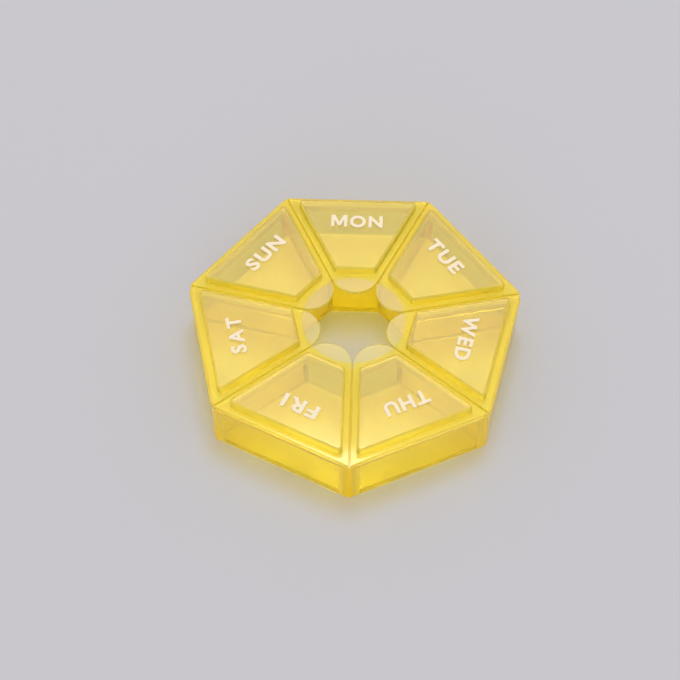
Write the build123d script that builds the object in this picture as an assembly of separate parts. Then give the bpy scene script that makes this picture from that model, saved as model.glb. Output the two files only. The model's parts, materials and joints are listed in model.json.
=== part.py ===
from build123d import *
import os
from math import cos, pi, sin, tan

# Seven-sided weekly pill box. Millimetres, +Z up, origin on the ring's axis in the plane of the base.
# Each compartment is first modelled pointing along +X, then turned about Z to its own place.

# Days clockwise seen from above, the first one at +Y
days = ("monday", "tuesday", "wednesday", "thursday", "friday", "saturday", "sunday")

# Tray
wall_apothem = 46.05  # axis to the flat of an outer wall
hole_apothem = 15.5  # axis to the flat of the finger hole's wall
tray_height = 16.5
outer_wall = 1.3
hole_wall = 1.3
partition_wall = 1.4
floor_thickness = 1.2
tray_corner_radius = 2.5  # upright edges outside
hole_corner_radius = 1.2  # upright edges in the finger hole
pocket_corner_radius = 1.0  # upright corners inside a compartment
pocket_floor_radius = 0.6  # scoop between a compartment's walls and its floor
base_edge_radius = 0.4
hole_edge_chamfer = 0.3

# Lids
lid_thickness = 1.0  # rim flange and finger tab
lid_gap = 0.4  # between neighbouring lids
lid_seat_gap = 0.1  # under the closed lid
lid_edge_gap = 0.15  # lid's outer edge, inside the outer wall's face
tab_radius = 7.5  # rounded end that reaches over the finger hole
flange_edge_break = 0.2  # bevel on the flange's upper edge
panel_rise = 2.6  # raised panel over the flange
panel_wall = 0.9
panel_top = 1.0
panel_corner_radius = 1.4
panel_edge_break = 0.45  # bevel on the panel's upper edge
panel_draft = 3.0  # degrees, from the flange up
plug_depth = 2.0  # rim that drops into the compartment
plug_hinge_clearance = 0.85
plug_hole_clearance = 0.4
plug_side_clearance = 1.2

# Film hinges
film_thickness = 0.35
film_end_margin = 0.5  # short of the tray's rounded corner

half_angle = pi / len(days)
slope = tan(half_angle)

# Places shared by the tray, the lids and the films
pocket_outer = wall_apothem - outer_wall
pocket_inner = hole_apothem + hole_wall
pocket_side = partition_wall / 2
panel_outer = pocket_outer - plug_hinge_clearance
panel_inner = pocket_inner + plug_hole_clearance
panel_side = pocket_side + plug_side_clearance
lid_bottom = tray_height + lid_seat_gap
hinge_height = tray_height + lid_seat_gap / 2


def heptagon(apothem):
    """Regular outline with a flat facing +X."""
    radius = apothem / cos(half_angle)
    corners = [
        (radius * cos(half_angle * (2 * k + 1)), radius * sin(half_angle * (2 * k + 1)))
        for k in range(len(days))
    ]
    return make_face(Polyline(*corners, close=True))


def sector(inner, outer, inset):
    """Piece of one compartment's wedge, its two long sides drawn in by inset."""
    inset_across = inset / cos(half_angle)
    half_inner = inner * slope - inset_across
    half_outer = outer * slope - inset_across
    corners = ((inner, -half_inner), (outer, -half_outer), (outer, half_outer), (inner, half_inner))
    return make_face(Polyline(*corners, close=True))


def rounded(face, radius):
    return fillet(face.vertices(), radius)


def raised(face, height):
    return Pos(0, 0, height) * face


def turned(shape, index):
    """Take a piece modelled along +X to the place of one day."""
    return Rot(0, 0, 90 - index * 360 / len(days)) * shape


def make_pocket():
    outline = rounded(sector(pocket_inner, pocket_outer, pocket_side), pocket_corner_radius)
    pocket = extrude(raised(outline, floor_thickness), tray_height)
    floor_edges = pocket.faces().sort_by(Axis.Z)[0].edges()
    return fillet(floor_edges, pocket_floor_radius)


def make_tray():
    body = extrude(heptagon(wall_apothem), tray_height)
    body = fillet(body.edges().filter_by(Axis.Z), tray_corner_radius)
    body = fillet(body.faces().sort_by(Axis.Z)[0].edges(), base_edge_radius)
    hole = extrude(heptagon(hole_apothem), tray_height)
    hole = fillet(hole.edges().filter_by(Axis.Z), hole_corner_radius)
    body -= hole
    hole_rim = body.faces().sort_by(Axis.Z)[0].inner_wires()[0].edges()
    body = chamfer(hole_rim, hole_edge_chamfer)
    pocket = make_pocket()
    body = Rot(0, 0, 90) * body
    for index in range(len(days)):
        body -= turned(pocket, index)
    return body


def make_lid():
    apex = lid_gap / 2 / sin(half_angle)
    outer = wall_apothem - lid_edge_gap
    half_outer = (outer - apex) * slope
    outline = make_face(Polyline((apex, 0), (outer, -half_outer), (outer, half_outer), close=True))
    corners = outline.vertices().sort_by(Axis.X)
    outline = fillet(corners[0], tab_radius)
    flange = extrude(raised(outline, lid_bottom), lid_thickness)
    flange = chamfer(flange.faces().sort_by(Axis.Z)[-1].edges(), flange_edge_break)

    panel_face = rounded(sector(panel_inner, panel_outer, panel_side), panel_corner_radius)
    inner_face = rounded(
        sector(panel_inner + panel_wall, panel_outer - panel_wall, panel_side + panel_wall),
        panel_corner_radius - panel_wall,
    )
    panel = extrude(raised(panel_face, lid_bottom), lid_thickness + panel_rise, taper=panel_draft)
    panel = chamfer(panel.faces().sort_by(Axis.Z)[-1].edges(), panel_edge_break)
    plug = extrude(raised(panel_face, lid_bottom - plug_depth), plug_depth)
    hollow_depth = plug_depth + lid_thickness + panel_rise - panel_top
    hollow = extrude(raised(inner_face, lid_bottom - plug_depth), hollow_depth)
    return flange + panel + plug - hollow


def make_film():
    """Thin web folded round the lid's turning axis, from the tray's wall to the lid's edge."""
    bend = lid_seat_gap / 2
    reach = bend + film_thickness
    half_length = (wall_apothem - tray_corner_radius) * slope - film_end_margin
    ring = Circle(reach) - Circle(bend)
    half_ring = ring & (Pos(reach, 0) * Rectangle(2 * reach, 4 * reach))
    leg = Pos(-lid_edge_gap / 2, bend + film_thickness / 2) * Rectangle(lid_edge_gap, film_thickness)
    section = Plane.XZ * (half_ring + leg)
    film = extrude(section, half_length, both=True)
    return Pos(wall_apothem, 0, hinge_height) * film


os.makedirs("parts", exist_ok=True)
export_step(make_tray(), "parts/tray.step")
lid = make_lid()
film = make_film()
for index, day in enumerate(days):
    export_step(turned(lid, index), f"parts/lid_{day}.step")
    export_step(turned(film, index), f"parts/hinge_{day}.step")
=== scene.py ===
import json
from math import cos, pi, radians, sin

import bpy
from mathutils import Matrix, Vector

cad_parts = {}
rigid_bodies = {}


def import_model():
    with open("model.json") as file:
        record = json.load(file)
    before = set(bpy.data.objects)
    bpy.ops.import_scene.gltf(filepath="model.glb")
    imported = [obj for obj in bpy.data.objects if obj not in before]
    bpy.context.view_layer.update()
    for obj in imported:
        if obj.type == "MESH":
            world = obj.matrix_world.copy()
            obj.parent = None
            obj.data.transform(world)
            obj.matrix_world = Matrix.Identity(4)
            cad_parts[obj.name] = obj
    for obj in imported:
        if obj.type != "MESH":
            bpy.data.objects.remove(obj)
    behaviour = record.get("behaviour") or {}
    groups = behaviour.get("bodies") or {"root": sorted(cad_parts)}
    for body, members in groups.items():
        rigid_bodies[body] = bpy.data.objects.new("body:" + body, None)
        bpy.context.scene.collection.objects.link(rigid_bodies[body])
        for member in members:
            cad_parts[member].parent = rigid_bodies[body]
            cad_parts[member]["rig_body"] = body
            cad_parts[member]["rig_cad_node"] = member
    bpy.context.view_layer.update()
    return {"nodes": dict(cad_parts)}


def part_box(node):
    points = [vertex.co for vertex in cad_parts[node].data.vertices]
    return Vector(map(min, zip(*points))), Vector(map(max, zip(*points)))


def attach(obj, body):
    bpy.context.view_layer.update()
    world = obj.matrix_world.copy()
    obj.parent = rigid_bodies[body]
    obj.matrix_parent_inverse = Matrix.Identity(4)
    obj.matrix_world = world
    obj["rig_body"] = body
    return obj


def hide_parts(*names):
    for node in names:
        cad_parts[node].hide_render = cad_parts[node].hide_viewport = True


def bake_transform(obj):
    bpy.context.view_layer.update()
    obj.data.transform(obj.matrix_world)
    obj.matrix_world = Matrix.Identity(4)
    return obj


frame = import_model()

millimetre = 0.001
nodes = frame["nodes"]
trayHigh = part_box("tray")[1]
outerWall = trayHigh.y  # the first day's outer wall faces +Y
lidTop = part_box("lid_monday")[1].z

# Clockwise seen from above; the first day is at +Y
days = ["monday", "tuesday", "wednesday", "thursday", "friday", "saturday", "sunday"]


def dayAngle(index):
    return pi / 2 - index * 2 * pi / len(days)


def outward(index):
    angle = dayAngle(index)
    return Vector((cos(angle), sin(angle), 0))


def deselectAll():
    for item in bpy.context.selected_objects:
        item.select_set(False)


def makeActive(item):
    deselectAll()
    item.select_set(True)
    bpy.context.view_layer.objects.active = item


# Translucent plastic of one colour, given as lit and shaded copies; each part of the moulding has a painted
# tone and how clear it is, and the rest is milkiness. Deep yellows and oranges are painted glow of light
# carried through thicker plastic, pale tones painted light through one thin sheet
moulding = {
    "wallPaintedGlow": ((0.94, 0.845, 0.10, 1.0), 0.80),  # upright faces, painted a deeper yellow for the glow of light that has crossed more plastic
    "wallEndPaintedGlow": ((0.98, 0.735, 0.05, 1.0), 0.30),  # painted orange glow and milkiness on a compartment's rounded ends, hiding the dark lines their refraction makes
    "lidSidePaintedGlow": ((1.0, 0.90, 0.20, 1.0), 0.70),  # upright faces of the thinner lids, painted a lighter yellow glow than the tray's walls
    "cornerPaintedGlow": ((1.0, 0.68, 0.0, 1.0), 0.18),  # upright outer corners, painted a golden glow where a partition is seen end on and carries light
    "flangePaintedGlow": ((1.0, 0.91, 0.21, 1.0), 0.69),  # level faces over the walls, painted deeper yellow for light carried up through the walls beneath
    "panelPaintedPale": ((1.0, 0.985, 0.90, 1.0), 0.91),  # raised panels over the open compartments, painted pale for light shining through one thin sheet
    "tabPaintedPale": ((1.0, 0.93, 0.66, 1.0), 0.77),  # thin, with nothing under it, painted pale for light shining through it
    # where each painted tone is laid: by a face's slope, its height and how far it is from the ring's axis
    "levelFrom": (0.80, 0.98),  # how far a face's normal points up or down
    "lidFrom": (trayHigh.z, trayHigh.z + 0.1 * millimetre),
    "panelFrom": (lidTop - 1.8 * millimetre, lidTop - 1.2 * millimetre),
    "tabWithin": (15.2 * millimetre, 15.6 * millimetre),
    "wallEndFrom": (49.5 * millimetre, 50.0 * millimetre),
    "cornerFrom": (50.45 * millimetre, 50.7 * millimetre),
    "roughness": (0.04, 0.0625),  # least and most
    "index": 1.49,
    "absorbed": (1.0, 0.965, 0.10, 1.0),
    "density": 250.0,  # per metre
    "lampTint": (0.935, 0.896, 0.635, 1.0),  # each face lets this much of a lamp's light straight through
    "waveScale": 70.0,
    "waveDetail": 2.0,
    "waveHeight": 0.12 * millimetre,
    "waveStrength": 0.25,
    "grainScale": 2600.0,
}


def addNode(tree, kind, place, **values):
    node = tree.nodes.new(kind)
    node.location = place
    for name, value in values.items():
        setattr(node, name, value)
    return node


def easedStep(tree, place, start, end):
    step = addNode(tree, "ShaderNodeMapRange", place, interpolation_type="SMOOTHSTEP")
    step.inputs["From Min"].default_value = start
    step.inputs["From Max"].default_value = end
    return step


# A choice is the name of a part in the look, or the socket of an earlier blend
def blendParts(tree, look, mask, off, on, wantsColour):
    blend = addNode(tree, "ShaderNodeMix", (0, 300), data_type="RGBA" if wantsColour else "FLOAT")
    offSocket, onSocket, result = (6, 7, 2) if wantsColour else (2, 3, 0)
    tree.links.new(mask.outputs["Result"], blend.inputs[0])
    for socket, choice in ((offSocket, off), (onSocket, on)):
        if isinstance(choice, str):
            blend.inputs[socket].default_value = look[choice][0 if wantsColour else 1]
        else:
            tree.links.new(choice, blend.inputs[socket])
    return blend.outputs[result]


def plastic(name, look):
    material = bpy.data.materials.new(name)
    material.use_nodes = True
    tree = material.node_tree
    tree.nodes.clear()
    output = addNode(tree, "ShaderNodeOutputMaterial", (900, 0))
    shader = addNode(tree, "ShaderNodeBsdfPrincipled", (500, 0))
    shader.inputs["IOR"].default_value = look["index"]
    coords = addNode(tree, "ShaderNodeTexCoord", (-900, 0))

    # where a point is, which places the painted tones: on a level face, on a lid or its raised panels, and
    # how far from the ring's axis
    facing = addNode(tree, "ShaderNodeSeparateXYZ", (-700, 500))
    steep = addNode(tree, "ShaderNodeMath", (-500, 500), operation="ABSOLUTE")
    level = easedStep(tree, (-300, 500), *look["levelFrom"])
    height = addNode(tree, "ShaderNodeSeparateXYZ", (-700, 300))
    onPanel = easedStep(tree, (-300, 300), *look["panelFrom"])
    onLid = easedStep(tree, (-300, 450), *look["lidFrom"])
    flatten = addNode(tree, "ShaderNodeVectorMath", (-700, 100), operation="MULTIPLY")
    flatten.inputs[1].default_value = (1, 1, 0)
    fromAxis = addNode(tree, "ShaderNodeVectorMath", (-500, 100), operation="LENGTH")
    offTab = easedStep(tree, (-300, 100), *look["tabWithin"])
    atWallEnd = easedStep(tree, (-300, 50), *look["wallEndFrom"])
    atCorner = easedStep(tree, (-300, -50), *look["cornerFrom"])
    tree.links.new(coords.outputs["Normal"], facing.inputs[0])
    tree.links.new(facing.outputs["Z"], steep.inputs[0])
    tree.links.new(steep.outputs[0], level.inputs["Value"])
    tree.links.new(coords.outputs["Object"], height.inputs[0])
    tree.links.new(height.outputs["Z"], onPanel.inputs["Value"])
    tree.links.new(height.outputs["Z"], onLid.inputs["Value"])
    tree.links.new(coords.outputs["Object"], flatten.inputs[0])
    tree.links.new(flatten.outputs[0], fromAxis.inputs[0])
    tree.links.new(fromAxis.outputs["Value"], offTab.inputs["Value"])
    tree.links.new(fromAxis.outputs["Value"], atWallEnd.inputs["Value"])
    tree.links.new(fromAxis.outputs["Value"], atCorner.inputs["Value"])
    # painted glow and pale tones: lit and shaded copies of the plastic, in colour and in clearness
    for socket, wantsColour in (("Base Color", True), ("Transmission Weight", False)):
        wallPaintedGlow = blendParts(tree, look, atWallEnd, "wallPaintedGlow", "wallEndPaintedGlow", wantsColour)
        wallPaintedGlow = blendParts(tree, look, atCorner, wallPaintedGlow, "cornerPaintedGlow", wantsColour)
        upright = blendParts(tree, look, onLid, wallPaintedGlow, "lidSidePaintedGlow", wantsColour)
        flat = blendParts(tree, look, onPanel, "flangePaintedGlow", "panelPaintedPale", wantsColour)
        flat = blendParts(tree, look, offTab, "tabPaintedPale", flat, wantsColour)
        mixed = blendParts(tree, look, level, upright, flat, wantsColour)
        tree.links.new(mixed, shader.inputs[socket])

    # slow waves of the moulded skin and a fine grain in its gloss
    waves = addNode(tree, "ShaderNodeTexNoise", (-450, -100))
    waves.inputs["Scale"].default_value = look["waveScale"]
    waves.inputs["Detail"].default_value = look["waveDetail"]
    grain = addNode(tree, "ShaderNodeTexNoise", (-450, -350))
    grain.inputs["Scale"].default_value = look["grainScale"]
    gloss = addNode(tree, "ShaderNodeMapRange", (-150, -350))
    gloss.inputs["To Min"].default_value, gloss.inputs["To Max"].default_value = look["roughness"]
    bump = addNode(tree, "ShaderNodeBump", (200, -150))
    bump.inputs["Strength"].default_value = look["waveStrength"]
    bump.inputs["Distance"].default_value = look["waveHeight"]
    tree.links.new(coords.outputs["Object"], waves.inputs["Vector"])
    tree.links.new(coords.outputs["Object"], grain.inputs["Vector"])
    tree.links.new(waves.outputs["Fac"], bump.inputs["Height"])
    tree.links.new(grain.outputs["Fac"], gloss.inputs["Value"])
    tree.links.new(gloss.outputs["Result"], shader.inputs["Roughness"])
    tree.links.new(bump.outputs["Normal"], shader.inputs["Normal"])

    # the plastic deepens with its thickness, and a lamp shines through each face
    absorb = addNode(tree, "ShaderNodeVolumeAbsorption", (500, -350))
    absorb.inputs["Color"].default_value = look["absorbed"]
    absorb.inputs["Density"].default_value = look["density"]
    rays = addNode(tree, "ShaderNodeLightPath", (500, 500))
    clear = addNode(tree, "ShaderNodeBsdfTransparent", (500, 150))
    clear.inputs[0].default_value = look["lampTint"]
    lampPath = addNode(tree, "ShaderNodeMixShader", (720, 100))
    tree.links.new(rays.outputs["Is Shadow Ray"], lampPath.inputs[0])
    tree.links.new(shader.outputs[0], lampPath.inputs[1])
    tree.links.new(clear.outputs[0], lampPath.inputs[2])
    tree.links.new(lampPath.outputs[0], output.inputs["Surface"])
    tree.links.new(absorb.outputs[0], output.inputs["Volume"])
    return material


ink = {
    "colour": (0.95, 0.815, 0.585, 1.0),
    "mottleColour": (0.8835, 0.75795, 0.54405, 1.0),
    "mottleScale": 900.0,
    "roughness": 0.55,
}


def letteringFinish(name, look):
    material = bpy.data.materials.new(name)
    material.use_nodes = True
    tree = material.node_tree
    shader = tree.nodes["Principled BSDF"]
    coords = addNode(tree, "ShaderNodeTexCoord", (-900, 0))
    mottle = addNode(tree, "ShaderNodeTexNoise", (-650, 0))
    mottle.inputs["Scale"].default_value = look["mottleScale"]
    tint = addNode(tree, "ShaderNodeMix", (-300, 100), data_type="RGBA")
    tint.inputs[6].default_value = look["colour"]
    tint.inputs[7].default_value = look["mottleColour"]
    tree.links.new(coords.outputs["Object"], mottle.inputs["Vector"])
    tree.links.new(mottle.outputs["Fac"], tint.inputs[0])
    tree.links.new(tint.outputs[2], shader.inputs["Base Color"])
    shader.inputs["Roughness"].default_value = look["roughness"]
    return material


mouldedPlastic = plastic("mouldedYellowPlastic", moulding)
# the film's upright faces take the painted glow of the lid sides
filmPlastic = plastic("hingeFilmPlastic", {**moulding, "wallPaintedGlow": moulding["lidSidePaintedGlow"]})
creamInk = letteringFinish("creamLettering", ink)
for name, item in nodes.items():
    item.data.materials.clear()
    item.data.materials.append(filmPlastic if name.startswith("hinge_") else mouldedPlastic)
print("plastic on", len(nodes), "moulded nodes")

# Raised day lettering, tops outward, read clockwise
lettering = {
    "capHeight": 4.65 * millimetre,
    "fromAxis": outerWall - 10.95 * millimetre,
    "rise": 0.25 * millimetre,
    "sunk": 0.05 * millimetre,
    "boldness": 0.035,  # of the letter size
    "gap": 0.13,  # between letters, of the letter size
    "smoothness": 5,  # steps in each curve of a letter
    "widths": {
        "MON": 15.75 * millimetre,
        "TUE": 13.9 * millimetre,
        "WED": 15.9 * millimetre,
        "THU": 13.75 * millimetre,
        "FRI": 11.25 * millimetre,
        "SAT": 13.0 * millimetre,
        "SUN": 14.6 * millimetre,
    },
    # each word's own shift from the middle of its lid, outward and then towards the day before
    "shifts": {
        "MON": (0.0, 0.0),
        "TUE": (0.0, 0.85 * millimetre),
        "WED": (-1.0 * millimetre, 0.05 * millimetre),
        "THU": (-0.5 * millimetre, 1.1 * millimetre),
        "FRI": (0.75 * millimetre, 1.15 * millimetre),
        "SAT": (0.35 * millimetre, 0.6 * millimetre),
        "SUN": (0.1 * millimetre, -0.15 * millimetre),
    },
    # the built-in M folds over itself when it is made bold, so its outline is given here
    "M": [(0, 0), (0, 0.75), (0.19, 0.75), (0.40, 0.30), (0.61, 0.75), (0.80, 0.75),
          (0.80, 0), (0.64, 0), (0.64, 0.45), (0.46, 0.06), (0.34, 0.06), (0.16, 0.45), (0.16, 0)],
}


def letterFromOutline(outline):
    curve = bpy.data.curves.new("letter", "CURVE")
    curve.dimensions = "2D"
    curve.fill_mode = "BOTH"
    run = curve.splines.new("POLY")
    run.points.add(len(outline) - 1)
    for point, (x, y) in zip(run.points, outline):
        point.co = (x, y, 0, 1)
    run.use_cyclic_u = True
    item = bpy.data.objects.new("letter", curve)
    bpy.context.scene.collection.objects.link(item)
    makeActive(item)
    return item


def letterFromFont(letter):
    bpy.ops.object.text_add()
    item = bpy.context.object
    item.data.body = letter
    item.data.offset = lettering["boldness"]
    item.data.resolution_u = lettering["smoothness"]
    return item


def boxOf(item):
    corners = [v.co for v in item.data.vertices]
    low = Vector([min(c[k] for c in corners) for k in range(3)])
    high = Vector([max(c[k] for c in corners) for k in range(3)])
    return low, high


def makeLettering(day, index):
    word = day[:3].upper()
    letters = []
    reach = 0.0
    for letter in word:
        deselectAll()
        item = letterFromOutline(lettering["M"]) if letter == "M" else letterFromFont(letter)
        item.data.extrude = 0.5
        bpy.ops.object.convert(target="MESH")
        item = bpy.context.object
        low, high = boxOf(item)
        item.data.transform(Matrix.Translation((reach - low.x, 0, 0)))
        reach += high.x - low.x + lettering["gap"]
        letters.append(item)
    deselectAll()
    for item in letters:
        item.select_set(True)
    bpy.context.view_layer.objects.active = letters[0]
    bpy.ops.object.join()
    item = bpy.context.object
    item.name = "lettering_" + day
    low, high = boxOf(item)
    size = high - low
    grow = (
        lettering["widths"][word] / size.x,
        lettering["capHeight"] / size.y,
        (lettering["rise"] + lettering["sunk"]) / size.z,
    )
    height = lidTop + (lettering["rise"] - lettering["sunk"]) / 2
    further, sideways = lettering["shifts"][word]
    along = outward(index)
    place = along * (lettering["fromAxis"] + further) + Vector((-along.y, along.x, 0)) * sideways
    place.z = height
    turn = Matrix.Rotation(dayAngle(index) - pi / 2, 4, "Z")
    middle = Matrix.Translation(-(high + low) / 2)
    item.data.transform(Matrix.Translation(place) @ turn @ Matrix.Diagonal((*grow, 1)) @ middle)
    makeActive(item)
    bpy.ops.object.mode_set(mode="EDIT")
    bpy.ops.mesh.select_all(action="SELECT")
    bpy.ops.mesh.remove_doubles(threshold=0.01 * millimetre)
    bpy.ops.mesh.normals_make_consistent(inside=False)
    bpy.ops.object.mode_set(mode="OBJECT")
    item.data.materials.clear()
    item.data.materials.append(creamInk)
    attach(item, "lid_" + day)
    return item


for index, day in enumerate(days):
    makeLettering(day, index)
print("lettering on", len(days), "lids")


# Film hinges: each hinge strip from the tray to its lid is copied to stand in its place
def makeHingeFilm(day):
    node = nodes["hinge_" + day]
    deselectAll()
    item = node.copy()
    item.data = node.data.copy()
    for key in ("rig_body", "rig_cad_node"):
        del item[key]
    item.parent = None
    item.name = "film_" + day
    bpy.context.scene.collection.objects.link(item)
    makeActive(item)
    bpy.ops.object.mode_set(mode="EDIT")
    bpy.ops.mesh.select_all(action="SELECT")
    bpy.ops.mesh.remove_doubles(threshold=0.001 * millimetre)
    bpy.ops.object.mode_set(mode="OBJECT")
    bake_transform(item)
    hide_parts("hinge_" + day)
    return item


for index, day in enumerate(days):
    makeHingeFilm(day)
print("film hinges bend at", len(days), "lids")

# Floor, light and camera
ground = {"size": 6.0, "colour": (0.565, 0.556, 0.583, 1.0), "roughness": 0.75, "drop": 0.02 * millimetre}
deselectAll()
bpy.ops.mesh.primitive_plane_add(size=ground["size"], location=(0, 0, -ground["drop"]))
floor = bpy.context.object
floor.name = "studioFloor"
floorFinish = bpy.data.materials.new("paleFloor")
floorFinish.use_nodes = True
floorShader = floorFinish.node_tree.nodes["Principled BSDF"]
floorShader.inputs["Base Color"].default_value = ground["colour"]
floorShader.inputs["Roughness"].default_value = ground["roughness"]
floor.data.materials.append(floorFinish)

studio = {
    "skyColour": (1.0, 0.99, 1.01, 1.0),
    "skyStrength": 0.60,
    "key": {"place": Vector((0.12, 0.76, 2.23)), "size": 0.9, "power": 21.0},
    "fill": {"place": Vector((-0.30, -2.00, 0.55)), "size": 1.4, "power": 13.0},
}
world = bpy.data.worlds.new("studioSky")
bpy.context.scene.world = world
world.use_nodes = True
sky = world.node_tree.nodes["Background"]
sky.inputs["Color"].default_value = studio["skyColour"]
sky.inputs["Strength"].default_value = studio["skyStrength"]
for lampName in ("key", "fill"):
    lamp = studio[lampName]
    deselectAll()
    bpy.ops.object.light_add(type="AREA", location=lamp["place"])
    light = bpy.context.object
    light.name = lampName + "Light"
    light.data.size = lamp["size"]
    light.data.energy = lamp["power"]
    light.rotation_euler = lamp["place"].to_track_quat("Z", "Y").to_euler()

viewpoint = {
    "aim": Vector((-4.26, 4.57, 0.3)) * millimetre,
    "azimuth": radians(1.78),  # 0 looks along +Y
    "elevation": radians(55.22),
    "distance": 0.5867,
    "lens": 101.4,
    "filmWidth": 36.0,
    "nearest": 0.01,
}
back = Vector((
    sin(viewpoint["azimuth"]) * cos(viewpoint["elevation"]),
    -cos(viewpoint["azimuth"]) * cos(viewpoint["elevation"]),
    sin(viewpoint["elevation"]),
))
cameraData = bpy.data.cameras.new("photoCamera")
camera = bpy.data.objects.new("photoCamera", cameraData)
bpy.context.scene.collection.objects.link(camera)
cameraData.lens = viewpoint["lens"]
cameraData.sensor_width = viewpoint["filmWidth"]
cameraData.clip_start = viewpoint["nearest"]
camera.location = viewpoint["aim"] + back * viewpoint["distance"]
camera.rotation_euler = back.to_track_quat("Z", "Y").to_euler()
bpy.context.scene.camera = camera

# light crosses many faces before it leaves the box
lightBounces = {"max_bounces": 32, "transmission_bounces": 32, "diffuse_bounces": 12}
scene = bpy.context.scene
scene.view_settings.view_transform = "Standard"
for kind, count in lightBounces.items():
    setattr(scene.cycles, kind, count)
print("camera, floor and light are set")
